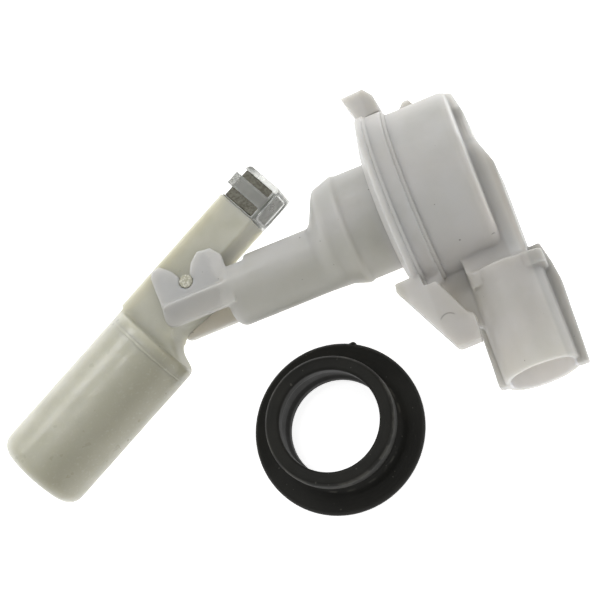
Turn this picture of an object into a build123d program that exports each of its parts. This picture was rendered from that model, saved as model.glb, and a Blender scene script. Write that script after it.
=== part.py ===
"""Float level sensor for a fluid tank, lying on a bench with its sealing grommet beside it.

Millimetres. X runs along the stem from the float end to the head, Y points away from the
connector, Z is up from the bench. The origin is on the barrel's axis, at the flange's tank side.
"""
from build123d import *
import math
import os

os.makedirs("parts", exist_ok=True)

# Barrel and stem: a short barrel fills the grommet, a slim tube below it carries the fork
barrel_radius = 9.15
land_radius = 8.55
bead_height = 0.25
bead_start = -9.2
bead_top_start = -6.6
bead_top_end = -6.1
bead_end = -5.7
shoulder_start = -13.2
shoulder_end = -9.3
shoulder_sections = 7
tube_radius = 5.6
tube_end = -29.4
tube_end_round = 1.6
stem_bottom = -8.55
tube_y = stem_bottom + tube_radius

# Relief in the top of the tube that clears the lever, and the reed bore under its floor
channel_half_width = 4.1
channel_floor = -0.6
channel_stop = -24.5
bore_radius = 2.45
bore_y = -5.2
bore_start = -27.6
barrel_cavity_radius = 7.4
barrel_cavity_start = -8.0

# Fork at the end of the stem, with ears that are open at the top so the lever snaps in
pivot_x = -34.6
pivot_y = 0.76
ear_outer = 4.9
bar_outer = 5.5
fork_end = -39.8
fork_root = -27.5
bar_top = -1.85
bar_bottom = -6.0
bar_round = 1.2
pin_radius = 1.15
pin_hole_radius = 1.22
slot_throat = 1.0

# Flange and head
flange_radius = 16.5
flange_rim_start = 1.2
seat_radius = 11.8
flange_thickness = 2.4
spigot_radius = 13.3
spigot_end = 3.2
collar_radius = 16.1
collar_end = 5.5
head_radius = 15.2
head_end = 16.4
head_rim_round = 1.4
head_cavity_radius = 13.4
head_cavity_end = 15.2
tab_back = -5.5
tab_width = 7.5
lock_tab_back = 5.6
lock_tab_thickness = 2.4

# Connector socket, pointing along -Y under the head
socket_x = 14.7
socket_width = 12.2
socket_height = 15.2
socket_wall = 0.9
socket_top = -12.0
neck_start = 9.2
neck_end = 19.4
neck_half_thickness = 6.0
socket_floor = -21.0
socket_mouth = -34.7
rib_half_thickness = 1.3
gusset_half_thickness = 3.5
shoulder_top = -16.8
shoulder_depth = 2.4
shoulder_left = 9.2
shoulder_right = 21.6
carrier_width = 7.4
carrier_height = 9.8
carrier_top = -12.6
fit_gap = 0.05

# Terminals, leads and the reed switch
terminal_width = 1.5
terminal_thickness = 0.8
terminal_pitch = 5.0
terminal_tip = -30.5
terminal_root = -11.5
lead_radius = 0.25
lead_bend = 0.8
reed_y = -4.6
return_y = -6.9
glass_radius = 1.1
glass_bore = 0.8
glass_start = -25.0
glass_end = -15.0
seal_length = 0.9
fixed_blade_root = glass_start + seal_length + 0.1
blade_thickness = 0.2
blade_width = 0.9
blade_gap = 0.14
fixed_blade_end = -18.9
moving_blade_end = -20.6
moving_blade_root = -16.2
cushion_radius = 1.55
joint_x = -10.3
tip_joint_x = -26.1
joint_sleeve_length = 2.6
joint_clip_half = 0.5
potting_start = -6.8
potting_depth = 5.5

# Lever: u runs from the pivot to the magnet, n is across it, away from the connector
rest_angle = 28.0
arm_half_thickness = 3.75
arm_low = -1.0
arm_high = 6.35
arm_end = 14.9
holder_end = 21.7
magnet_start = 15.2
magnet_end = 20.7
magnet_low = -0.5
magnet_high = 6.0
magnet_back = -2.7
magnet_front = 3.05
strap_start = 17.0
strap_end = 19.4
strap_tab = 6.9
tongue_depth = 4.0
tongue_width = 2.5
tongue_half_thickness = 1.2

# Float
float_radius = 7.95
float_n = -1.3
float_start = -10.7
float_seam = -12.9
float_end = -41.1
float_wall = 1.5
float_end_round = 2.4

# Grommet, lying flange down on the bench
bench_z = -flange_radius
grommet_x = -21.6
grommet_y = -27.0
grommet_flange_radius = 14.85
grommet_flange_height = 1.8
grommet_neck_radius = 11.1
grommet_groove_radius = 10.3
grommet_bore_radius = 8.6
grommet_recess_radius = 9.1
grommet_height = 9.0

rest = math.radians(rest_angle)
LEVER = Plane(
    origin=(pivot_x, pivot_y, 0),
    x_dir=(math.cos(rest), math.sin(rest), 0),
    z_dir=(0, 0, 1),
)
FLOAT_AXIS = Axis(LEVER.from_local_coords((0, float_n, 0)), LEVER.x_dir)
FLOAT_SECTION = Plane(
    origin=LEVER.from_local_coords((0, float_n, 0)), x_dir=(0, 0, 1), z_dir=LEVER.x_dir
)
TUBE_SECTION = Plane.YZ


def finish(part, name):
    """Label a finished piece and write it."""
    part.label = name
    export_step(part, f"parts/{name}.step")


# ---------------------------------------------------------------- stem, barrel, fork and flange
with BuildPart() as stem:
    with BuildSketch(TUBE_SECTION.offset(tube_end)):
        with Locations((tube_y, 0)):
            Circle(tube_radius)
    extrude(amount=shoulder_start - tube_end)
    end_edge = stem.edges().filter_by(GeomType.CIRCLE).sort_by(Axis.X)[0]
    fillet(end_edge, tube_end_round)

    # The shoulder grows from the tube to the barrel, flush along the bottom
    for step in range(shoulder_sections):
        share = step / (shoulder_sections - 1)
        grown = (1 - math.cos(math.pi * share)) / 2
        radius = tube_radius + (land_radius - tube_radius) * grown
        x = shoulder_start + (shoulder_end - shoulder_start) * share
        with BuildSketch(TUBE_SECTION.offset(x)):
            with Locations((stem_bottom + radius, 0)):
                Circle(radius)
    loft()

    # Barrel with its lead-in ramp and snap bead, then the flange and its locating spigot
    with BuildSketch(Plane.XY):
        with BuildLine():
            Polyline(
                (shoulder_end, 0),
                (shoulder_end, land_radius),
                (bead_start, land_radius),
                (bead_top_start, barrel_radius + bead_height),
                (bead_top_end, barrel_radius + bead_height),
                (bead_end, barrel_radius),
                (0, barrel_radius),
                (0, seat_radius),
                (flange_rim_start, flange_radius),
                (flange_thickness, flange_radius),
                (flange_thickness, spigot_radius),
                (spigot_end, spigot_radius),
                (spigot_end, 0),
                close=True,
            )
        make_face()
    revolve(axis=Axis.X)

    # Relief for the lever
    with BuildSketch(Plane.XY):
        with Locations(((channel_stop + fork_end) / 2, channel_floor + 10)):
            Rectangle(channel_stop - fork_end, 20)
    extrude(amount=channel_half_width, both=True, mode=Mode.SUBTRACT)

    # Fork: a bar and an ear on each side
    for side in (1, -1):
        with BuildSketch(Plane.XY.offset(side * channel_half_width)):
            with Locations(((fork_end + fork_root) / 2, (bar_top + bar_bottom) / 2)):
                Rectangle(fork_root - fork_end, bar_top - bar_bottom)
            fillet(vertices().group_by(Axis.X)[0], bar_round)
        extrude(amount=side * (bar_outer - channel_half_width))
        with BuildSketch(Plane.XY.offset(side * channel_half_width)):
            with BuildLine():
                Polyline(
                    (fork_end, bar_top - 1),
                    (fork_end - 0.4, 3.4),
                    (fork_end + 0.1, 4.7),
                    (fork_end + 1.6, 4.9),
                    (pivot_x - 1.8, 3.3),
                    (pivot_x - slot_throat, pivot_y + 1.2),
                    (pivot_x - slot_throat, pivot_y),
                    (pivot_x + slot_throat, pivot_y),
                    (pivot_x + slot_throat, pivot_y + 1.2),
                    (pivot_x + 1.7, 3.5),
                    (pivot_x + 3.3, 4.9),
                    (pivot_x + 5.6, 4.6),
                    (fork_root - 0.1, 2.9),
                    (fork_root, bar_top - 1),
                    close=True,
                )
            make_face()
            with Locations((pivot_x, pivot_y)):
                Circle(pin_hole_radius, mode=Mode.SUBTRACT)
        extrude(amount=side * (ear_outer - channel_half_width))

    # Reed bore in the tube, opening into the hollow barrel
    with BuildSketch(TUBE_SECTION.offset(bore_start)):
        with Locations((bore_y, 0)):
            Circle(bore_radius)
    extrude(amount=barrel_cavity_start + 1 - bore_start, mode=Mode.SUBTRACT)
    with BuildSketch(TUBE_SECTION.offset(barrel_cavity_start)):
        Circle(barrel_cavity_radius)
    extrude(amount=spigot_end - barrel_cavity_start, mode=Mode.SUBTRACT)

    # Finger tab that stands up from the top of the flange
    with BuildSketch(Plane.XY.offset(tab_back)):
        with BuildLine():
            Polyline(
                (flange_rim_start, 15.0),
                (0.6, 18.6),
                (-0.4, 21.6),
                (3.6, 21.8),
                (4.9, 20.0),
                (5.2, 17.0),
                (flange_thickness, 16.7),
                (flange_thickness, 15.0),
                close=True,
            )
        make_face()
    extrude(amount=tab_width)

    # Locking tab that hangs from the flange beside the socket
    with BuildSketch(Plane.XY.offset(lock_tab_back)):
        with BuildLine():
            Polyline(
                (flange_thickness, -12.0),
                (0.8, -14.2),
                (-1.8, -14.3),
                (-2.0, -15.6),
                (4.0, -27.6),
                (4.5, -27.9),
                (8.1, -27.8),
                (8.4, -23.5),
                (7.4, -22.8),
                (4.5, -16.4),
                (flange_thickness, -16.4),
                close=True,
            )
        make_face()
    extrude(amount=lock_tab_thickness)
finish(stem.part, "stem")

# ---------------------------------------------------------------- head shell with the socket
with BuildPart() as head_shell:
    with BuildSketch(Plane.XY):
        with BuildLine():
            Polyline(
                (flange_thickness, 0),
                (flange_thickness, collar_radius),
                (collar_end, collar_radius),
                (collar_end, head_radius),
                (head_end, head_radius),
                (head_end, 0),
                close=True,
            )
        make_face()
    revolve(axis=Axis.X)
    rim = head_shell.edges().filter_by(GeomType.CIRCLE).sort_by(Axis.X)[-1]
    fillet(rim, head_rim_round)

    # Stub of the moulding gate on top
    with BuildSketch(Plane.XY):
        with BuildLine():
            Polyline(
                (collar_end, head_radius - 1),
                (collar_end, head_radius + 0.5),
                (8.2, head_radius + 0.4),
                (9.2, head_radius + 1.5),
                (10.2, head_radius + 1.5),
                (10.9, head_radius - 0.2),
                (10.9, head_radius - 1),
                close=True,
            )
        make_face()
    extrude(amount=2.4)

    # Raised spine on the outer face, from the top of the head down to the socket
    with BuildSketch(Plane.XY):
        with BuildLine():
            Polyline(
                (head_end - 1.2, 14.0),
                (17.3, 13.2),
                (18.05, 9.4),
                (18.15, 4.6),
                (19.75, -0.6),
                (19.45, -17.5),
                (head_end - 1.2, -17.5),
                close=True,
            )
        make_face()
    extrude(amount=neck_half_thickness, both=True)

    # Socket: a neck and a square shoulder under the head, then an oval shroud with flat ribs
    with BuildSketch(Plane.XY):
        with Locations(((neck_start + neck_end) / 2, (socket_top + shoulder_top) / 2)):
            Rectangle(neck_end - neck_start, socket_top - shoulder_top)
    extrude(amount=neck_half_thickness, both=True)
    with BuildSketch(Plane.XZ.offset(-shoulder_top)):
        with Locations(((shoulder_left + shoulder_right) / 2, 0)):
            RectangleRounded(shoulder_right - shoulder_left, 13.0, 1.5)
    extrude(amount=shoulder_depth)
    with BuildSketch(Plane.XZ.offset(-shoulder_top)):
        with Locations((socket_x, 0)):
            SlotOverall(socket_height, socket_width, rotation=90)
    extrude(amount=shoulder_top - socket_mouth)
    with BuildSketch(Plane.XY):
        with BuildLine():
            Polyline(
                (9.0, -13.0),
                (7.9, -21.0),
                (7.4, socket_mouth),
                (22.1, socket_mouth - 0.8),
                (22.7, -21.4),
                (22.3, -18.2),
                (21.5, -14.6),
                (17.0, -14.8),
                close=True,
            )
        make_face()
    extrude(amount=rib_half_thickness, both=True)

    # Gusset between the socket, the head and the collar
    with BuildSketch(Plane.XY):
        with BuildLine():
            Polyline(
                (collar_end - 1.9, -14.5),
                (collar_end - 0.9, -16.6),
                (6.9, -23.6),
                (8.6, -25.0),
                (10.0, -24.0),
                (10.0, -13.8),
                close=True,
            )
        make_face()
    extrude(amount=gusset_half_thickness, both=True)

    # Hollow head, carrier pocket and open socket
    with BuildSketch(TUBE_SECTION.offset(flange_thickness)):
        Circle(head_cavity_radius)
    extrude(amount=head_cavity_end - flange_thickness, mode=Mode.SUBTRACT)
    with BuildSketch(Plane.XZ.offset(-socket_top)):
        with Locations((socket_x, 0)):
            Rectangle(carrier_width, carrier_height)
    extrude(amount=socket_top - socket_floor, mode=Mode.SUBTRACT)
    with BuildSketch(Plane.XZ.offset(-socket_floor)):
        with Locations((socket_x, 0)):
            SlotOverall(
                socket_height - 2 * socket_wall, socket_width - 2 * socket_wall, rotation=90
            )
    extrude(amount=socket_floor - socket_mouth + 2, mode=Mode.SUBTRACT)
finish(head_shell.part, "head_shell")

# ---------------------------------------------------------------- terminals and their carrier
with BuildPart() as terminal_carrier:
    with BuildSketch(Plane.XZ.offset(-carrier_top)):
        with Locations((socket_x, 0)):
            Rectangle(carrier_width - 2 * fit_gap, carrier_height - 2 * fit_gap)
        with Locations((socket_x, terminal_pitch / 2), (socket_x, -terminal_pitch / 2)):
            Rectangle(terminal_thickness, terminal_width, mode=Mode.SUBTRACT)
    extrude(amount=carrier_top - socket_floor)
finish(terminal_carrier.part, "terminal_carrier")

for side, name in ((1, "terminal_left"), (-1, "terminal_right")):
    with BuildPart() as terminal:
        with BuildSketch(Plane.XZ.offset(-terminal_root)):
            with Locations((socket_x, side * terminal_pitch / 2)):
                Rectangle(terminal_thickness, terminal_width)
        extrude(amount=terminal_root - terminal_tip)
        tip_edges = terminal.faces().sort_by(Axis.Y)[0].edges()
        chamfer(tip_edges, length=0.25)
    finish(terminal.part, name)

# ---------------------------------------------------------------- leads from terminals to reed
lead_routes = {
    "lead_left": [
        (joint_x, reed_y, 0),
        (4.0, reed_y, 0),
        (10.0, reed_y, terminal_pitch / 2),
        (socket_x, -7.5, terminal_pitch / 2),
        (socket_x, terminal_root, terminal_pitch / 2),
    ],
    "lead_right": [
        (tip_joint_x - joint_clip_half, return_y, 0),
        (4.0, return_y, 0),
        (10.0, return_y, -terminal_pitch / 2),
        (socket_x, -9.0, -terminal_pitch / 2),
        (socket_x, terminal_root, -terminal_pitch / 2),
    ],
}
for name, route in lead_routes.items():
    with BuildPart() as lead:
        with BuildLine() as path:
            FilletPolyline(*route, radius=lead_bend)
        with BuildSketch(TUBE_SECTION.offset(route[0][0])):
            with Locations((route[0][1], route[0][2])):
                Circle(lead_radius)
        sweep()
    finish(lead.part, name)

# ---------------------------------------------------------------- reed switch in its glass
with BuildPart() as reed_glass:
    with BuildSketch(TUBE_SECTION.offset(glass_start)):
        with Locations((reed_y, 0)):
            Circle(glass_radius)
    extrude(amount=glass_end - glass_start)
    glass_ends = reed_glass.edges().filter_by(GeomType.CIRCLE)
    fillet(glass_ends, 0.5)
    with BuildSketch(TUBE_SECTION.offset(glass_start + seal_length)):
        with Locations((reed_y, 0)):
            Circle(glass_bore)
    extrude(amount=glass_end - glass_start - 2 * seal_length, mode=Mode.SUBTRACT)
    with BuildSketch(TUBE_SECTION.offset(glass_start)):
        with Locations((reed_y, 0)):
            Circle(lead_radius)
    extrude(amount=glass_end - glass_start, mode=Mode.SUBTRACT)
finish(reed_glass.part, "reed_glass")

with BuildPart() as reed_blade_fixed:
    with BuildSketch(TUBE_SECTION.offset(tip_joint_x - joint_clip_half)):
        with Locations((reed_y, 0)):
            Circle(lead_radius)
    extrude(amount=fixed_blade_root + 0.2 - (tip_joint_x - joint_clip_half))
    with BuildSketch(Plane.XZ.offset(-reed_y)):
        with Locations(((fixed_blade_root + fixed_blade_end) / 2, 0)):
            Rectangle(fixed_blade_end - fixed_blade_root, blade_width)
    extrude(amount=blade_thickness)
finish(reed_blade_fixed.part, "reed_blade_fixed")

with BuildPart() as reed_lead:
    with BuildSketch(TUBE_SECTION.offset(moving_blade_root)):
        with Locations((reed_y, 0)):
            Circle(lead_radius)
    extrude(amount=joint_x - moving_blade_root)
finish(reed_lead.part, "reed_lead")

with BuildPart() as reed_blade_moving:
    with BuildSketch(Plane.XZ.offset(-(reed_y + blade_gap + blade_thickness))):
        with Locations(((moving_blade_root + moving_blade_end) / 2, 0)):
            Rectangle(moving_blade_root - moving_blade_end, blade_width)
    extrude(amount=blade_thickness)
finish(reed_blade_moving.part, "reed_blade_moving")

with BuildPart() as reed_cushion:
    with BuildSketch(TUBE_SECTION.offset(glass_start + 1.5)):
        with Locations((reed_y, 0)):
            Circle(cushion_radius)
            Circle(glass_radius, mode=Mode.SUBTRACT)
    extrude(amount=glass_end - glass_start - 3.0)
finish(reed_cushion.part, "reed_cushion")

with BuildPart() as joint_sleeve:
    with BuildSketch(TUBE_SECTION.offset(joint_x - joint_sleeve_length / 2)):
        with Locations((reed_y, 0)):
            Circle(lead_radius + 0.3)
            Circle(lead_radius, mode=Mode.SUBTRACT)
    extrude(amount=joint_sleeve_length)
finish(joint_sleeve.part, "joint_sleeve")

with BuildPart() as joint_clip:
    with BuildSketch(TUBE_SECTION.offset(tip_joint_x - joint_clip_half)):
        with Locations(((reed_y + return_y) / 2, 0)):
            RectangleRounded(reed_y - return_y + 0.9, 0.9, 0.3)
        with Locations((reed_y, 0), (return_y, 0)):
            Circle(lead_radius, mode=Mode.SUBTRACT)
    extrude(amount=1.6 * joint_clip_half)
finish(joint_clip.part, "joint_clip")

with BuildPart() as potting:
    with BuildSketch(TUBE_SECTION.offset(potting_start)):
        Circle(barrel_cavity_radius - fit_gap)
        with Locations((reed_y, 0), (return_y, 0)):
            Circle(lead_radius, mode=Mode.SUBTRACT)
    extrude(amount=potting_depth)
finish(potting.part, "potting")

# ---------------------------------------------------------------- lever with the float's end disc
with BuildPart() as float_arm:
    # Neck and heel, kept inside the float's diameter
    with BuildSketch(LEVER):
        with BuildLine():
            l1 = Polyline((float_start, arm_high - 0.5), (5.0, arm_high - 0.5), (5.0, arm_low))
            l2 = Polyline(l1 @ 1, (3.80, -3.72), (3.28, -4.69), (-6.4, -3.4))
            l3 = ThreePointArc(l2 @ 1, (-8.8, -4.7), (-9.8, -7.4))
            Polyline(l3 @ 1, (float_start, -8.9), l1 @ 0)
        make_face()
    extrude(amount=arm_half_thickness, both=True)
    with BuildSketch(FLOAT_SECTION.offset(float_start)):
        Circle(float_radius)
    extrude(amount=20, mode=Mode.INTERSECT)

    # Straight arm
    with BuildSketch(LEVER):
        with Locations(((arm_end - 10.3) / 2, (arm_high + arm_low) / 2)):
            Rectangle(arm_end + 10.3, arm_high - arm_low)
        fillet(vertices().group_by(Axis(LEVER.origin, LEVER.x_dir))[0], 0.6)
    extrude(amount=arm_half_thickness, both=True)

    # Disc that closes the float
    with BuildSketch(FLOAT_SECTION.offset(float_seam)):
        Circle(float_radius)
    extrude(amount=float_start - float_seam)

    # Trunnions
    with BuildSketch(LEVER):
        Circle(pin_radius)
    extrude(amount=ear_outer, both=True)

    # Slot for the magnet holder's tongue
    with BuildSketch(LEVER):
        with Locations((arm_end - tongue_depth / 2, (magnet_low + magnet_high) / 2)):
            Rectangle(tongue_depth, tongue_width)
    extrude(amount=tongue_half_thickness, both=True, mode=Mode.SUBTRACT)
finish(float_arm.part, "float_arm")

with BuildPart() as float_shell:
    with BuildSketch(FLOAT_SECTION.offset(float_end)):
        Circle(float_radius)
    extrude(amount=float_seam - float_end)
    far_edge = float_shell.edges().sort_by(Axis(LEVER.origin, LEVER.x_dir))[0]
    fillet(far_edge, float_end_round)
    with BuildSketch(FLOAT_SECTION.offset(float_end + float_wall)):
        Circle(float_radius - float_wall)
    extrude(amount=float_seam - float_end - float_wall, mode=Mode.SUBTRACT)
finish(float_shell.part, "float_shell")

# ---------------------------------------------------------------- magnet and its clear holder
with BuildPart() as magnet:
    with BuildSketch(LEVER.offset(magnet_back)):
        with Locations(((magnet_start + magnet_end) / 2, (magnet_low + magnet_high) / 2)):
            Rectangle(magnet_end - magnet_start, magnet_high - magnet_low)
    extrude(amount=magnet_front - magnet_back)
    chamfer(magnet.edges(), length=0.15)
finish(magnet.part, "magnet")

with BuildPart() as magnet_holder:
    with BuildSketch(LEVER.offset(-arm_half_thickness)):
        with Locations(((arm_end + holder_end) / 2, (arm_low + magnet_high) / 2)):
            Rectangle(holder_end - arm_end, magnet_high - arm_low)
        fillet(vertices().group_by(Axis(LEVER.origin, LEVER.x_dir))[-1], 0.8)
    extrude(amount=2 * arm_half_thickness)
    with BuildSketch(LEVER.offset(magnet_back)):
        with Locations(((magnet_start + magnet_end) / 2, magnet_low + 5)):
            Rectangle(magnet_end - magnet_start, 10)
    extrude(amount=10, mode=Mode.SUBTRACT)
    # Strap across the magnet, hooked over its open side
    with BuildSketch(LEVER.offset(magnet_front)):
        with Locations(((strap_start + strap_end) / 2, (arm_low + strap_tab) / 2)):
            Rectangle(strap_end - strap_start, strap_tab - arm_low)
    extrude(amount=arm_half_thickness - magnet_front)
    with BuildSketch(LEVER.offset(-1.5)):
        with Locations(((strap_start + strap_end) / 2, (magnet_high + strap_tab) / 2)):
            Rectangle(strap_end - strap_start, strap_tab - magnet_high)
    extrude(amount=1.5 + magnet_front)
    with BuildSketch(LEVER.offset(-arm_half_thickness)):
        with Locations(((strap_start + strap_end) / 2, (magnet_high + strap_tab) / 2)):
            Rectangle(strap_end - strap_start, strap_tab - magnet_high)
    extrude(amount=arm_half_thickness)
    # Tongue that presses into the arm
    with BuildSketch(LEVER):
        with Locations((arm_end - tongue_depth / 2 + 0.1, (magnet_low + magnet_high) / 2)):
            Rectangle(tongue_depth - 0.2, tongue_width)
    extrude(amount=tongue_half_thickness, both=True)
finish(magnet_holder.part, "magnet_holder")

# ---------------------------------------------------------------- grommet
with BuildPart() as grommet:
    with BuildSketch(Plane.XZ):
        with BuildLine():
            Polyline(
                (grommet_bore_radius, 0),
                (grommet_flange_radius - 0.6, 0),
                (grommet_flange_radius, 0.6),
                (grommet_flange_radius, grommet_flange_height - 0.5),
                (grommet_flange_radius - 0.5, grommet_flange_height),
                (grommet_groove_radius + 0.8, grommet_flange_height),
                (grommet_groove_radius, grommet_flange_height + 0.8),
                (grommet_groove_radius, grommet_height - 4.2),
                (grommet_neck_radius, grommet_height - 3.0),
                (grommet_neck_radius, grommet_height - 0.5),
                (grommet_neck_radius - 0.5, grommet_height),
                (grommet_bore_radius + 0.3, grommet_height),
                (grommet_bore_radius, grommet_height - 0.3),
                (grommet_bore_radius, grommet_height - 2.2),
                (grommet_recess_radius, grommet_height - 3.4),
                (grommet_recess_radius, 2.6),
                (grommet_bore_radius, 1.6),
                close=True,
            )
        make_face()
    revolve(axis=Axis.Z)
grommet.part.position = (grommet_x, grommet_y, bench_z)
finish(grommet.part, "grommet")
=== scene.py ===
import math

import bmesh
import bpy
from mathutils import Matrix, Vector, noise


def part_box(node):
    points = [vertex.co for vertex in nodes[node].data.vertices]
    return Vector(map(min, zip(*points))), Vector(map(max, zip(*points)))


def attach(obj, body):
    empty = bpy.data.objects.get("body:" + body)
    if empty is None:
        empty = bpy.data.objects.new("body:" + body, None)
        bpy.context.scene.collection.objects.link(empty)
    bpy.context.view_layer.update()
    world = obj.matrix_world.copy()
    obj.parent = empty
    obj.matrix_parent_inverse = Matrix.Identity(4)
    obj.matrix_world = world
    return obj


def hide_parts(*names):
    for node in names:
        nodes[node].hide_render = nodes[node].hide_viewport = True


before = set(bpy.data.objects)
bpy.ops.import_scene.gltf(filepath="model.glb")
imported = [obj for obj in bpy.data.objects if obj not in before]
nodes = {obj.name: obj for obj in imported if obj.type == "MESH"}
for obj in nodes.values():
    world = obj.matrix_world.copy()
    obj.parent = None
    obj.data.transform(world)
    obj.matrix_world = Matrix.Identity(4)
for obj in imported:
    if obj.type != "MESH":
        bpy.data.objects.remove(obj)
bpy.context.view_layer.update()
scene = bpy.context.scene

# The lever's own directions at rest, for things that follow the float's length
REST = math.radians(28.0)
PIVOT = Vector((-0.0346, 0.00076, 0.0))
ALONG = Vector((math.cos(REST), math.sin(REST), 0.0))
ACROSS = Vector((-math.sin(REST), math.cos(REST), 0.0))
GROMMET = Vector((-0.0216, -0.027, 0.0))
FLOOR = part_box("grommet")[0].z
SOCKET_X = 0.0147
ACRYLIC_IOR = 1.49


# ------------------------------------------------------------------ materials
class Paint:
    """A node material, built up one layer at a time over the object's own coordinates."""

    def __init__(self, name):
        self.mat = bpy.data.materials.new(name)
        self.mat.use_nodes = True
        self.tree = self.mat.node_tree
        self.shader = self.tree.nodes["Principled BSDF"]
        self.place = self.tree.nodes.new("ShaderNodeTexCoord").outputs["Object"]

    def node(self, kind, **settings):
        made = self.tree.nodes.new(kind)
        for key, value in settings.items():
            setattr(made, key, value)
        return made

    def link(self, source, target):
        self.tree.links.new(source, target)

    def math(self, operation, a, b=0.0):
        made = self.node("ShaderNodeMath", operation=operation)
        for socket, value in zip(made.inputs, (a, b)):
            if isinstance(value, (int, float)):
                socket.default_value = value
            else:
                self.link(value, socket)
        return made.outputs[0]

    def along(self, direction, origin=(0, 0, 0)):
        """Distance in metres along a direction, measured from a point."""
        shift = self.node("ShaderNodeVectorMath", operation="SUBTRACT")
        self.link(self.place, shift.inputs[0])
        shift.inputs[1].default_value = origin
        dot = self.node("ShaderNodeVectorMath", operation="DOT_PRODUCT")
        self.link(shift.outputs[0], dot.inputs[0])
        dot.inputs[1].default_value = direction
        return dot.outputs["Value"]

    def distance(self, centre, weights):
        """Distance in metres from a point, with a weight for each axis."""
        shift = self.node("ShaderNodeVectorMath", operation="SUBTRACT")
        self.link(self.place, shift.inputs[0])
        shift.inputs[1].default_value = centre
        scale = self.node("ShaderNodeVectorMath", operation="MULTIPLY")
        self.link(shift.outputs[0], scale.inputs[0])
        scale.inputs[1].default_value = weights
        length = self.node("ShaderNodeVectorMath", operation="LENGTH")
        self.link(scale.outputs[0], length.inputs[0])
        return length.outputs["Value"]

    def step(self, value, low, high):
        """0 below low, 1 above high."""
        ramp = self.node("ShaderNodeMapRange", clamp=True, interpolation_type="SMOOTHSTEP")
        self.link(value, ramp.inputs["Value"])
        ramp.inputs["From Min"].default_value = low
        ramp.inputs["From Max"].default_value = high
        return ramp.outputs[0]

    def below(self, value, low, high):
        """1 below low, 0 above high."""
        return self.math("SUBTRACT", 1.0, self.step(value, low, high))

    def both(self, first, *others):
        """1 only where every mask is 1."""
        for mask in others:
            first = self.math("MULTIPLY", first, mask)
        return first

    def band(self, value, middle, half, edge):
        """1 within half of the middle, fading to 0 over edge."""
        off = self.math("ABSOLUTE", self.math("SUBTRACT", value, middle))
        return self.below(off, half, half + edge)

    def noise(self, scale, detail=3.0, stretch=(1, 1, 1), turn=(0, 0, 0)):
        mapping = self.node("ShaderNodeMapping")
        self.link(self.place, mapping.inputs["Vector"])
        mapping.inputs["Scale"].default_value = stretch
        mapping.inputs["Rotation"].default_value = turn
        tex = self.node("ShaderNodeTexNoise")
        self.link(mapping.outputs[0], tex.inputs["Vector"])
        tex.inputs["Scale"].default_value = scale
        tex.inputs["Detail"].default_value = detail
        return tex.outputs["Fac"]

    def cells(self, scale):
        tex = self.node("ShaderNodeTexVoronoi")
        self.link(self.place, tex.inputs["Vector"])
        tex.inputs["Scale"].default_value = scale
        return tex.outputs["Distance"]

    def mix(self, amount, a, b):
        made = self.node("ShaderNodeMix", data_type="RGBA")
        for socket, value in zip((made.inputs[0], made.inputs[6], made.inputs[7]), (amount, a, b)):
            if isinstance(value, tuple):
                socket.default_value = (*value, 1.0)
            elif isinstance(value, (int, float)):
                socket.default_value = value
            else:
                self.link(value, socket)
        return made.outputs[2]

    def tint(self, base, mask, amount, tone):
        """Moves the base colour towards a tone where the mask is set."""
        return self.mix(self.math("MULTIPLY", mask, amount), base, tone)

    def colour(self, value):
        self.link(value, self.shader.inputs["Base Color"])

    def rough(self, low, high, by):
        ramp = self.node("ShaderNodeMapRange", clamp=True)
        self.link(by, ramp.inputs["Value"])
        ramp.inputs["From Min"].default_value = 0.3
        ramp.inputs["From Max"].default_value = 0.7
        ramp.inputs["To Min"].default_value = low
        ramp.inputs["To Max"].default_value = high
        self.link(ramp.outputs[0], self.shader.inputs["Roughness"])

    def bumps(self, *layers):
        """Each layer is (height, distance in metres)."""
        last = None
        for height, distance in layers:
            bump = self.node("ShaderNodeBump")
            bump.inputs["Strength"].default_value = 1.0
            bump.inputs["Distance"].default_value = distance
            self.link(height, bump.inputs["Height"])
            if last:
                self.link(last, bump.inputs["Normal"])
            last = bump.outputs[0]
        self.link(last, self.shader.inputs["Normal"])

    def frosted_coat(self, grain, distance, weight, rough):
        """A thin glossy skin broken into glints by its own fine grain."""
        bump = self.node("ShaderNodeBump")
        bump.inputs["Distance"].default_value = distance
        self.link(grain, bump.inputs["Height"])
        self.link(bump.outputs[0], self.shader.inputs["Coat Normal"])
        self.set(coat_weight=weight, coat_roughness=rough)

    def set(self, **values):
        """Constants of the shader, such as specular_ior_level=0.4."""
        for key, value in values.items():
            label = key.replace("_", " ").title().replace("Ior", "IOR")
            self.shader.inputs[label].default_value = value


def milky(paint, weight, reach, tint=(1.0, 0.94, 0.84)):
    """Light that scatters inside a translucent moulding."""
    paint.set(subsurface_weight=weight, subsurface_radius=tint, subsurface_scale=reach)


def stem_painted_shade_and_light(p, base, x, y, z):
    """Painted shade deepens both sides of the barrel and tube, painted light makes the fork's ears paler,
    painted shade makes its near bar greyer.
    """
    stem = p.both(p.below(x, -0.002, 0.0), p.step(x, -0.030, -0.026))
    # Painted shade: darker on the low and the high side of the barrel and the tube
    base = p.tint(base, p.both(stem, p.below(y, -0.0075, 0.001)), 0.5, (0.38, 0.372, 0.310))
    base = p.tint(base, p.both(stem, p.step(y, 0.0025, 0.0075)), 0.5, (0.375, 0.372, 0.350))
    fork = p.below(x, -0.0312, -0.0270)
    above_bar = p.step(y, -0.0030, -0.0016)
    far_side = p.below(z, -0.001, 0.001)
    ears = p.both(fork, p.math("MAXIMUM", above_bar, far_side))
    # Painted light: the fork's ears paler
    base = p.tint(base, ears, 0.7, (0.60, 0.588, 0.560))
    # Painted shade: the fork's near bar greyer
    return p.tint(base, p.math("SUBTRACT", fork, ears), 0.6, (0.345, 0.340, 0.322))


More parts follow.
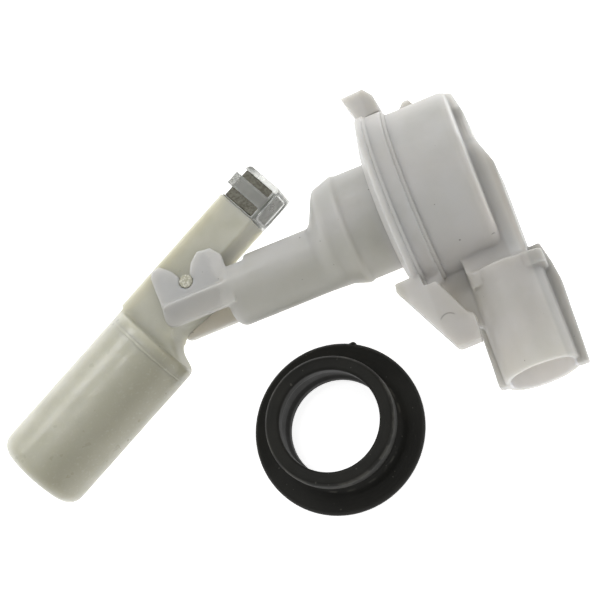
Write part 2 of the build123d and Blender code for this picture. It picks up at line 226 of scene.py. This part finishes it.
def socket_painted_light_and_shade(p, base, x, y):
    """Painted light on the spine's inner band and painted shade on its outer band, painted light on the
    inside of the socket, and painted shade in the gap beside it.
    """
    # Painted light: a paler band along the spine
    spine = p.both(p.band(y, -0.0070, 0.0090, 0.0012), p.band(x, 0.0178, 0.0007, 0.0006))
    base = p.tint(base, spine, 0.5, (0.60, 0.60, 0.585))
    # Painted shade: a darker band on the spine's outer side
    outer = p.both(p.band(y, -0.0200, 0.0220, 0.0012), p.step(x, 0.0190, 0.0196))
    base = p.tint(base, outer, 0.75, (0.335, 0.333, 0.320))
    # Painted light: the inside of the socket paler
    bore = p.below(p.distance((SOCKET_X, 0, 0), (1.25, 0, 1)), 0.0069, 0.0072)
    mouth = p.both(bore, p.below(y, -0.0270, -0.0220))
    base = p.tint(base, mouth, 0.7, (0.58, 0.58, 0.60))
    # Painted shade, brown-grey, where the head, the gusset and the locking tab crowd together
    painted_gap_shade = p.below(p.distance((0.0075, -0.0195, 0.004), (1, 0.8, 0.6)), 0.0015, 0.0048)
    return p.tint(base, painted_gap_shade, 0.45, (0.330, 0.312, 0.262))


def head_painted_light(p, base, x, y):
    """Painted light: paler on the outer face, the drum and the flange rim, where the walls of the head and
    the flange are thin.
    """
    # Painted light: the head's outer face paler
    face = p.both(p.step(x, 0.0158, 0.0163), p.step(y, 0.0015, 0.0035))
    base = p.tint(base, face, 0.75, (0.66, 0.655, 0.640))
    # Painted light: the drum paler
    drum = p.both(p.band(x, 0.0105, 0.0035, 0.0025), p.band(y, -0.003, 0.007, 0.006))
    base = p.tint(base, drum, 0.35, (0.54, 0.535, 0.520))
    # Painted light: the flange rim paler
    from_axis = p.distance((0, 0, 0), (0, 1, 1))
    rim = p.both(p.band(x, 0.0012, 0.0013, 0.0008), p.step(from_axis, 0.0110, 0.0130))
    return p.tint(base, rim, 0.4, (0.56, 0.555, 0.540))


def housing_plastic(name, thin=False, solid=False):
    """Milky natural plastic: thin lets some light straight through, solid scatters none."""
    p = Paint(name)
    clouds = p.noise(140, 3)
    x = p.along((1, 0, 0))
    y = p.along((0, 1, 0))
    z = p.along((0, 0, 1))
    base = p.mix(p.step(clouds, 0.35, 0.65), (0.440, 0.436, 0.412), (0.478, 0.473, 0.456))
    base = p.tint(base, p.step(p.noise(45, 2), 0.42, 0.68), 0.45, (0.455, 0.422, 0.390))
    # Painted light and painted shade on the socket, the stem and the head
    base = socket_painted_light_and_shade(p, base, x, y)
    base = stem_painted_shade_and_light(p, base, x, y, z)
    base = head_painted_light(p, base, x, y)
    # Torn, ridged patch on the outer face
    rows = p.noise(500, 2, (1.0, 0.16, 1.4), (0, 0, 0.12))
    patch = p.both(p.band(y, 0.0073, 0.0026, 0.0009), p.band(z, 0.0042, 0.0016, 0.0010))
    torn = p.both(p.step(x, 0.0162, 0.0164), patch)
    base = p.tint(base, p.both(torn, p.step(rows, 0.52, 0.60)), 0.45, (0.190, 0.190, 0.180))
    # Small dark scratch on the locking tab, an arc around a point on its face
    arc = p.band(p.distance((0.0043, -0.0232, 0.008), (0.9, 1, 1)), 0.0012, 0.00003, 0.00016)
    base = p.tint(base, p.both(arc, p.step(y, -0.0228, -0.0223)), 0.55, (0.140, 0.135, 0.120))
    base = p.tint(base, p.step(p.noise(1300, 0), 0.855, 0.875), 0.6, (0.10, 0.095, 0.085))
    p.colour(base)
    p.rough(0.33, 0.47, clouds)
    p.bumps((p.noise(260, 2), 0.00012), (p.both(rows, torn), 0.00035), (p.noise(2600, 2), 0.000012))
    p.set(specular_ior_level=0.42, ior=ACRYLIC_IOR)
    if not solid:
        milky(p, 0.9, 0.0042)
    if thin:
        p.set(transmission_weight=0.12)
    return p.mat


def lever_plastic(name):
    """Cream moulding, a little translucent."""
    p = Paint(name)
    u = p.along(tuple(ALONG), tuple(PIVOT))
    n = p.along(tuple(ACROSS), tuple(PIVOT))
    clouds = p.noise(170, 3)
    base = p.mix(p.step(clouds, 0.36, 0.66), (0.428, 0.422, 0.342), (0.480, 0.474, 0.398))
    base = p.tint(base, p.step(p.noise(90, 2), 0.5, 0.62), 0.4, (0.475, 0.470, 0.405))
    # Painted shade: the low side of the neck darker
    neck = p.both(p.below(n, -0.0085, 0.0005), p.below(u, 0.0, 0.006))
    base = p.tint(base, neck, 0.1, (0.38, 0.37, 0.285))
    p.colour(base)
    p.rough(0.34, 0.48, clouds)
    p.bumps((p.noise(300, 2), 0.00010), (p.noise(3000, 2), 0.000014))
    p.set(specular_ior_level=0.4)
    milky(p, 0.9, 0.0060, (1.0, 0.94, 0.78))
    return p.mat


def trunnion_plastic(name):
    """The broken, crystalline end of a trunnion."""
    p = Paint(name)
    grain = p.cells(2600)
    base = p.mix(p.step(grain, 0.15, 0.6), (0.66, 0.65, 0.56), (0.40, 0.39, 0.30))
    p.colour(base)
    p.rough(0.35, 0.6, grain)
    p.bumps((grain, 0.00012), (p.noise(5200, 2), 0.00003))
    milky(p, 0.4, 0.0016, (1.0, 0.93, 0.72))
    return p.mat


def float_plastic(name, solid=False):
    """Cream float wall with painted shade on its low side; solid scatters no light."""
    p = Paint(name)
    u = p.along(tuple(ALONG), tuple(PIVOT))
    n = p.along(tuple(ACROSS), tuple(PIVOT))
    clouds = p.noise(200, 4)
    flecks = p.noise(2100, 3)
    base = p.mix(p.step(clouds, 0.36, 0.64), (0.450, 0.444, 0.356), (0.492, 0.486, 0.400))
    # Painted shade: darker olive on the float's low side
    base = p.tint(base, p.below(n, -0.0084, -0.0004), 0.82, (0.272, 0.260, 0.190))
    base = p.tint(base, p.step(flecks, 0.56, 0.72), 0.14, (0.60, 0.59, 0.52))
    # Painted light: paler rim along the high side, where the round wall is seen through its thickness
    base = p.tint(base, p.step(n, 0.0052, 0.0066), 0.3, (0.42, 0.43, 0.40))
    # Greyer on the closed end
    base = p.tint(base, p.below(u, -0.0408, -0.0392), 0.3, (0.38, 0.375, 0.32))
    p.colour(base)
    p.rough(0.27, 0.37, p.noise(420, 2))
    p.bumps((p.noise(240, 1), 0.00012), (p.noise(2400, 1), 0.000005))
    p.set(specular_ior_level=0.5)
    p.frosted_coat(p.noise(3000, 2), 0.00010, 0.30, 0.14)
    if not solid:
        milky(p, 0.75, 0.0036, (1.0, 0.94, 0.72))
    return p.mat


def clear_plastic(name):
    """Hazy clear plastic of the magnet's clip."""
    p = Paint(name)
    haze = p.noise(420, 3)
    p.colour(p.mix(p.step(haze, 0.4, 0.65), (0.86, 0.87, 0.84), (0.74, 0.75, 0.72)))
    p.rough(0.24, 0.40, haze)
    p.bumps((p.noise(500, 2), 0.00008), (p.noise(2600, 3), 0.00005))
    p.set(transmission_weight=0.78, ior=1.30)
    return p.mat


def ferrite(name):
    """Dark sintered magnet."""
    p = Paint(name)
    grain = p.noise(2400, 5)
    brushed = p.noise(500, 3, (1, 7, 1), (0, 0, -REST))
    base = p.mix(p.step(grain, 0.38, 0.66), (0.070, 0.066, 0.045), (0.155, 0.150, 0.118))
    base = p.tint(base, p.step(brushed, 0.45, 0.65), 0.4, (0.20, 0.195, 0.165))
    p.colour(base)
    p.rough(0.38, 0.62, grain)
    p.bumps((grain, 0.00006), (brushed, 0.00003))
    p.set(metallic=0.35)
    return p.mat


def rubber(name):
    """Black moulded rubber with dust and a scuffed line at the foot of the neck."""
    p = Paint(name)
    grain = p.noise(3400, 4)
    blush = p.noise(160, 3)
    radius = p.distance(tuple(GROMMET), (1, 1, 0))
    base = p.mix(p.step(blush, 0.36, 0.66), (0.0065, 0.0064, 0.0046), (0.0125, 0.0122, 0.0098))
    base = p.tint(base, p.step(p.noise(1500, 1), 0.735, 0.775), 0.5, (0.075, 0.073, 0.062))
    scuff = p.both(p.band(radius, 0.01095, 0.00005, 0.00018), p.step(p.noise(330, 2), 0.48, 0.6))
    base = p.tint(base, scuff, 0.55, (0.060, 0.058, 0.048))
    p.colour(base)
    p.rough(0.50, 0.68, blush)
    rings = p.math("SINE", p.math("MULTIPLY", radius, 9000.0))
    p.bumps((p.noise(240, 2), 0.00010), (rings, 0.000004), (grain, 0.000016))
    p.set(specular_ior_level=0.20, sheen_weight=0.04, sheen_roughness=0.5)
    return p.mat


def metal(name, low, high, rough):
    """Drawn metal between two tones."""
    p = Paint(name)
    drawn = p.noise(900, 3, (8, 1, 8))
    p.colour(p.mix(p.step(drawn, 0.35, 0.65), low, high))
    p.rough(rough, rough + 0.16, drawn)
    p.bumps((drawn, 0.00001), (p.noise(4200, 2), 0.000006))
    p.set(metallic=1.0)
    return p.mat


def plain_inner(name, low, high, rough, scale=600):
    """Mottled plastic or resin of the inner pieces."""
    p = Paint(name)
    mottle = p.noise(scale, 3)
    p.colour(p.mix(p.step(mottle, 0.35, 0.65), low, high))
    p.rough(rough, rough + 0.15, mottle)
    p.bumps((mottle, 0.00003), (p.noise(scale * 6, 2), 0.00001))
    return p.mat


def reed_tube(name):
    """Slightly rippled clear glass."""
    p = Paint(name)
    ripple = p.noise(700, 2)
    p.colour(p.mix(p.step(ripple, 0.4, 0.6), (0.72, 0.86, 0.79), (0.80, 0.90, 0.85)))
    p.rough(0.02, 0.08, ripple)
    p.bumps((ripple, 0.00002))
    p.set(transmission_weight=0.9, ior=1.51)
    return p.mat


HOUSING = housing_plastic("housing_plastic")
THIN = housing_plastic("housing_plastic_thin", thin=True)
SEAM = housing_plastic("housing_plastic_seam", solid=True)
LEVER = lever_plastic("lever_plastic_cream")
TRUNNION = trunnion_plastic("trunnion_end")
FLOAT = float_plastic("float_plastic_speckled")
FLOAT_SEAM = float_plastic("float_plastic_seam", solid=True)
CLEAR = clear_plastic("holder_plastic_clear")
HAZY = plain_inner("holder_plastic_hazy", (0.36, 0.37, 0.36), (0.58, 0.59, 0.57), 0.3, scale=900)
FERRITE = ferrite("ferrite_magnet")
RUBBER = rubber("grommet_rubber_black")
TINNED = metal("terminal_tinned_brass", (0.60, 0.54, 0.36), (0.72, 0.69, 0.60), 0.28)
WIRE = metal("lead_tinned_wire", (0.56, 0.53, 0.50), (0.70, 0.68, 0.64), 0.25)
BLADE = metal("reed_blade_iron", (0.42, 0.42, 0.41), (0.55, 0.55, 0.53), 0.3)
GLASS = reed_tube("reed_glass_tube")
CARRIER = plain_inner("carrier_plastic", (0.42, 0.415, 0.39), (0.50, 0.495, 0.47), 0.4)
CUSHION = plain_inner("cushion_silicone", (0.34, 0.34, 0.32), (0.42, 0.42, 0.40), 0.5)
POTTING = plain_inner("potting_resin", (0.30, 0.29, 0.23), (0.37, 0.36, 0.29), 0.32, scale=300)


# ------------------------------------------------------------------ soft-edged mouldings
def moulded(source, name, body, materials, voxel, rounds, keep, shape=None):
    """A moulding with softened edges, grown from a CAD node's solid and standing for it."""
    bm = bmesh.new()
    bm.from_mesh(nodes[source].data)
    bmesh.ops.remove_doubles(bm, verts=bm.verts, dist=0.000002)
    mesh = bpy.data.meshes.new(name)
    bm.to_mesh(mesh)
    bm.free()
    piece = bpy.data.objects.new(name, mesh)
    scene.collection.objects.link(piece)
    remesh = piece.modifiers.new("skin", "REMESH")
    remesh.mode = "VOXEL"
    remesh.voxel_size = voxel
    remesh.use_smooth_shade = True
    soften = piece.modifiers.new("soften", "SMOOTH")
    soften.factor = 0.5
    soften.iterations = rounds
    thin_out = piece.modifiers.new("thin_out", "DECIMATE")
    thin_out.ratio = keep
    deps = bpy.context.evaluated_depsgraph_get()
    final = bpy.data.meshes.new_from_object(piece.evaluated_get(deps))
    piece.modifiers.clear()
    piece.data = final
    final.name = name
    if shape:
        for v in final.vertices:
            v.co = shape(v.co.copy())
    final.materials.clear()
    for m in materials:
        final.materials.append(m)
    final.shade_smooth()
    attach(piece, body)
    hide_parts(source)
    return piece


def relax(piece, chosen, rounds):
    """Blends the chosen corner of a moulding into a soft hollow."""
    bm = bmesh.new()
    bm.from_mesh(piece.data)
    verts = [v for v in bm.verts if chosen(v.co)]
    for _ in range(rounds):
        bmesh.ops.smooth_vert(bm, verts=verts, factor=0.5, use_axis_x=True, use_axis_y=True, use_axis_z=True)
    bm.to_mesh(piece.data)
    bm.free()


def lump(name, body, material, centre, sizes, seed):
    """A small irregular scar or nub left by moulding."""
    bm = bmesh.new()
    bmesh.ops.create_icosphere(bm, subdivisions=4, radius=1.0)
    for v in bm.verts:
        swell = 1.0 + 0.28 * noise.noise(v.co * 1.7 + Vector((seed, 0, 0))) + 0.10 * noise.noise(v.co * 5.0)
        v.co = Vector(centre) + Vector((v.co.x * sizes[0], v.co.y * sizes[1], v.co.z * sizes[2])) * swell
    mesh = bpy.data.meshes.new(name)
    bm.to_mesh(mesh)
    bm.free()
    mesh.materials.append(material)
    mesh.shade_smooth()
    piece = bpy.data.objects.new(name, mesh)
    scene.collection.objects.link(piece)
    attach(piece, body)


def bridge(bm, a, b):
    """Faces between two closed rings of the same length."""
    for k in range(len(a)):
        after = (k + 1) % len(a)
        bm.faces.new((a[k], a[after], b[after], b[k]))


def window_frame():
    """The raised rectangular border on the side of the clear holder."""
    bm = bmesh.new()
    centre = PIVOT + ALONG * 0.0183 + ACROSS * -0.0010
    half_u, half_z, width, proud = 0.0026, 0.0027, 0.00045, 0.00022
    corners, squareness = 48, 0.28
    outline = []
    for k in range(corners):
        angle = 2 * math.pi * (k + 0.5) / corners
        c, d = math.cos(angle), math.sin(angle)
        u = math.copysign(abs(c) ** squareness, c)
        v = math.copysign(abs(d) ** squareness, d)
        outline.append((u, v))
    rings = []
    for grow, height in ((0.0, -0.0002), (0.0, 0.8), (0.12, 1.0), (0.88, 1.0), (1.0, 0.8), (1.0, -0.0002)):
        ring = []
        for k, (u, v) in enumerate(outline):
            reach = grow * width
            wave = 0.00003 * noise.noise(Vector((k * 0.4, grow, 0)))
            spot = centre + ALONG * (u * (half_u + reach)) + Vector((0, 0, 1)) * (v * (half_z + reach))
            ring.append(bm.verts.new(spot - ACROSS * (height * proud + wave)))
        rings.append(ring)
    for a, b in zip(rings, rings[1:] + rings[:1]):
        bridge(bm, a, b)
    bmesh.ops.recalc_face_normals(bm, faces=bm.faces)
    mesh = bpy.data.meshes.new("holder_window_frame")
    bm.to_mesh(mesh)
    bm.free()
    mesh.materials.append(HAZY)
    mesh.shade_smooth()
    piece = bpy.data.objects.new("holder_window_frame", mesh)
    scene.collection.objects.link(piece)
    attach(piece, "lever")


def uneven(amount, size):
    """The slight waviness of a moulded wall, the same in every run."""
    shifts = (Vector((9.3, 1.5, 7.9)), Vector((3.1, 8.7, 2.2)), Vector((5.6, 4.4, 12.1)))

    def move(co):
        return co + Vector([noise.noise(co / size + shift) for shift in shifts]) * amount

    return move


def paint_faces(piece, index, test):
    """Gives the faces whose centre passes the test another material of the piece."""
    for face in piece.data.polygons:
        if test(face.center):
            face.material_index = index


def on_lever(place):
    """How far along and across the lever a place is from the pivot."""
    reach = place - PIVOT
    return reach.dot(ALONG), reach.dot(ACROSS)


def beside_disc(place):
    """The hollow between the lever's neck and the disc that closes the float."""
    along, across = on_lever(place)
    return -0.0122 < along < -0.0082 and across < 0.0056


def weld_bead(name, body, material, centre, axis, side, radius, high, wide, wander):
    """A thin raised line around a welded joint."""
    other = axis.cross(side)
    bm = bmesh.new()
    rings = []
    turns, sides = 240, 8
    for i in range(turns):
        angle = 2 * math.pi * i / turns
        out = side * math.cos(angle) + other * math.sin(angle)
        height = high + wander * noise.noise(out * 5.0)
        ring = []
        for k in range(sides):
            bend = 2 * math.pi * k / sides
            spot = centre + out * (radius + height * math.cos(bend)) + axis * (wide * math.sin(bend))
            ring.append(bm.verts.new(spot))
        rings.append(ring)
    for a, b in zip(rings, rings[1:] + rings[:1]):
        bridge(bm, a, b)
    bmesh.ops.recalc_face_normals(bm, faces=bm.faces)
    mesh = bpy.data.meshes.new(name)
    bm.to_mesh(mesh)
    bm.free()
    mesh.materials.append(material)
    mesh.shade_smooth()
    bead = bpy.data.objects.new(name, mesh)
    scene.collection.objects.link(bead)
    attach(bead, body)


WAVE_SIZE = 0.004
stem = moulded(
    "stem", "stem_moulding", "housing", [HOUSING, THIN],
    voxel=0.00020, rounds=5, keep=0.45, shape=uneven(0.00003, WAVE_SIZE),
)
paint_faces(stem, 1, lambda place: place.x < -0.0296)
moulded(
    "head_shell", "head_moulding", "housing", [HOUSING],
    voxel=0.00022, rounds=5, keep=0.45, shape=uneven(0.00003, WAVE_SIZE),
)
lever = moulded(
    "float_arm", "lever_moulding", "lever", [LEVER, TRUNNION, FLOAT],
    voxel=0.00018, rounds=4, keep=0.5, shape=uneven(0.00002, 0.003),
)
relax(lever, beside_disc, 70)
paint_faces(lever, 1, lambda place: abs(place.z) > 0.0040 and (place - PIVOT).xy.length < 0.0016)
paint_faces(lever, 2, lambda place: on_lever(place)[0] < -0.0106)
moulded(
    "float_shell", "float_moulding", "lever", [FLOAT],
    voxel=0.00024, rounds=6, keep=0.45, shape=uneven(0.00004, 0.003),
)
moulded(
    "grommet", "grommet_moulding", "seal", [RUBBER],
    voxel=0.00018, rounds=5, keep=0.5,
)
moulded(
    "magnet_holder", "holder_moulding", "lever", [CLEAR],
    voxel=0.00013, rounds=3, keep=0.5,
)

weld_bead(
    "float_weld_bead", "lever", FLOAT_SEAM,
    PIVOT + ALONG * -0.0129 + ACROSS * -0.0013, ALONG, ACROSS,
    radius=0.00768, high=0.00028, wide=0.00055, wander=0.00004,
)
STEM_AXIS = Vector((1, 0, 0))
STEM_UP = Vector((0, 1, 0))
weld_bead(
    "flange_weld_bead", "housing", SEAM,
    STEM_AXIS * 0.00240, STEM_AXIS, STEM_UP,
    radius=0.01595, high=0.00034, wide=0.00060, wander=0.00006,
)
weld_bead(
    "collar_root_fillet", "housing", SEAM,
    STEM_AXIS * 0.00550, STEM_AXIS, STEM_UP,
    radius=0.01515, high=0.00045, wide=0.00060, wander=0.00004,
)
window_frame()
lump(
    "grommet_gate_nub", "seal", RUBBER,
    centre=(-0.01468, -0.01405, -0.0157), sizes=(0.00062, 0.00055, 0.0007), seed=3.0,
)
# Torn gate scars on top of the collar and the head
for letter, centre, sizes, seed in (
    ("a", (0.0064, 0.0151, 0.0006), (0.0006, 0.0004, 0.0011), 1.0),
    ("b", (0.0078, 0.0153, 0.0002), (0.0007, 0.0005, 0.0013), 7.0),
    ("c", (0.0044, 0.0161, 0.0010), (0.0006, 0.0003, 0.0009), 12.0),
):
    lump(f"gate_scar_{letter}", "housing", HOUSING, centre, sizes, seed)

for name, material in {
    "magnet": FERRITE,
    "terminal_left": TINNED,
    "terminal_right": TINNED,
    "terminal_carrier": CARRIER,
    "lead_left": WIRE,
    "lead_right": WIRE,
    "joint_sleeve": TINNED,
    "joint_clip": TINNED,
    "reed_glass": GLASS,
    "reed_blade_fixed": BLADE,
    "reed_blade_moving": BLADE,
    "reed_lead": BLADE,
    "reed_cushion": CUSHION,
    "potting": POTTING,
}.items():
    for socket in nodes[name].material_slots:
        socket.material = material

# ------------------------------------------------------------------ floor, light and camera
bm = bmesh.new()
bmesh.ops.create_grid(bm, x_segments=8, y_segments=8, size=3.0)
mesh = bpy.data.meshes.new("floor")
bm.to_mesh(mesh)
bm.free()
floor = bpy.data.objects.new("floor", mesh)
floor.location.z = FLOOR
scene.collection.objects.link(floor)
card = Paint("floor_card")
card.colour(card.mix(card.step(card.noise(6, 2), 0.3, 0.7), (0.90, 0.90, 0.90), (0.92, 0.92, 0.92)))
card.rough(0.9, 0.95, card.noise(40, 2))
card.set(specular_ior_level=0.0, emission_color=(1, 1, 1, 1), emission_strength=0.74)
mesh.materials.append(card.mat)

# A white room, brighter towards the horizon than overhead
world = bpy.data.worlds.new("studio")
world.use_nodes = True
tree = world.node_tree
sky = tree.nodes["Background"]
direction = tree.nodes.new("ShaderNodeTexCoord")
split = tree.nodes.new("ShaderNodeSeparateXYZ")
fade = tree.nodes.new("ShaderNodeMapRange")
fade.inputs["From Min"].default_value = 0.15
fade.inputs["From Max"].default_value = 0.95
fade.inputs["To Min"].default_value = 0.95
fade.inputs["To Max"].default_value = 0.42
tree.links.new(direction.outputs["Generated"], split.inputs[0])
tree.links.new(split.outputs["Z"], fade.inputs["Value"])
tree.links.new(fade.outputs[0], sky.inputs["Strength"])
sky.inputs["Color"].default_value = (1.0, 1.0, 1.0, 1.0)
scene.world = world

# The camera looks down, from a little to the head's side and the socket's, and is rolled
toward = Vector((0.15343, -0.31809, 0.93556)).normalized()
flat_right = (Vector((1, 0, 0)) - toward * toward.x).normalized()
flat_up = toward.cross(flat_right)
roll = math.radians(22.0)
right = flat_right * math.cos(roll) - flat_up * math.sin(roll)
up = flat_right * math.sin(roll) + flat_up * math.cos(roll)


def lamp(name, direction, side, distance, long, short, power):
    """A soft box that faces the origin, its long side along a direction."""
    data = bpy.data.lights.new(name, "AREA")
    data.shape = "RECTANGLE"
    data.size = long
    data.size_y = short
    data.energy = power
    z = direction.normalized()
    y = z.cross(side).normalized()
    x = y.cross(z)
    made = bpy.data.objects.new(name, data)
    made.matrix_world = Matrix.Translation(z * distance) @ Matrix((x, y, z)).transposed().to_4x4()
    scene.collection.objects.link(made)


lamp(
    "strip", Vector((-0.331, 0.623, 0.705)), ALONG,
    distance=0.7, long=0.36, short=0.05, power=1.35,
)
lamp(
    "overhead", Vector((-0.153, 0.074, 0.987)), Vector((1, 0, 0)),
    distance=0.8, long=0.08, short=0.04, power=0.40,
)
lamp(
    "fill", toward * 0.9 + up * 0.35 - right * 0.1, Vector((1, 0, 0)),
    distance=0.9, long=0.9, short=0.9, power=0.9,
)

camera_data = bpy.data.cameras.new("camera")
camera_data.sensor_width = 36.0
camera_data.lens = 105.48
camera_data.clip_start = 0.01
camera = bpy.data.objects.new("camera", camera_data)
camera_place = Vector((0.026243, -0.100462, 0.271513))
turn = Matrix((right, up, toward)).transposed().to_4x4()
camera.matrix_world = Matrix.Translation(camera_place) @ turn
scene.collection.objects.link(camera)
scene.camera = camera
scene.view_settings.view_transform = "Standard"
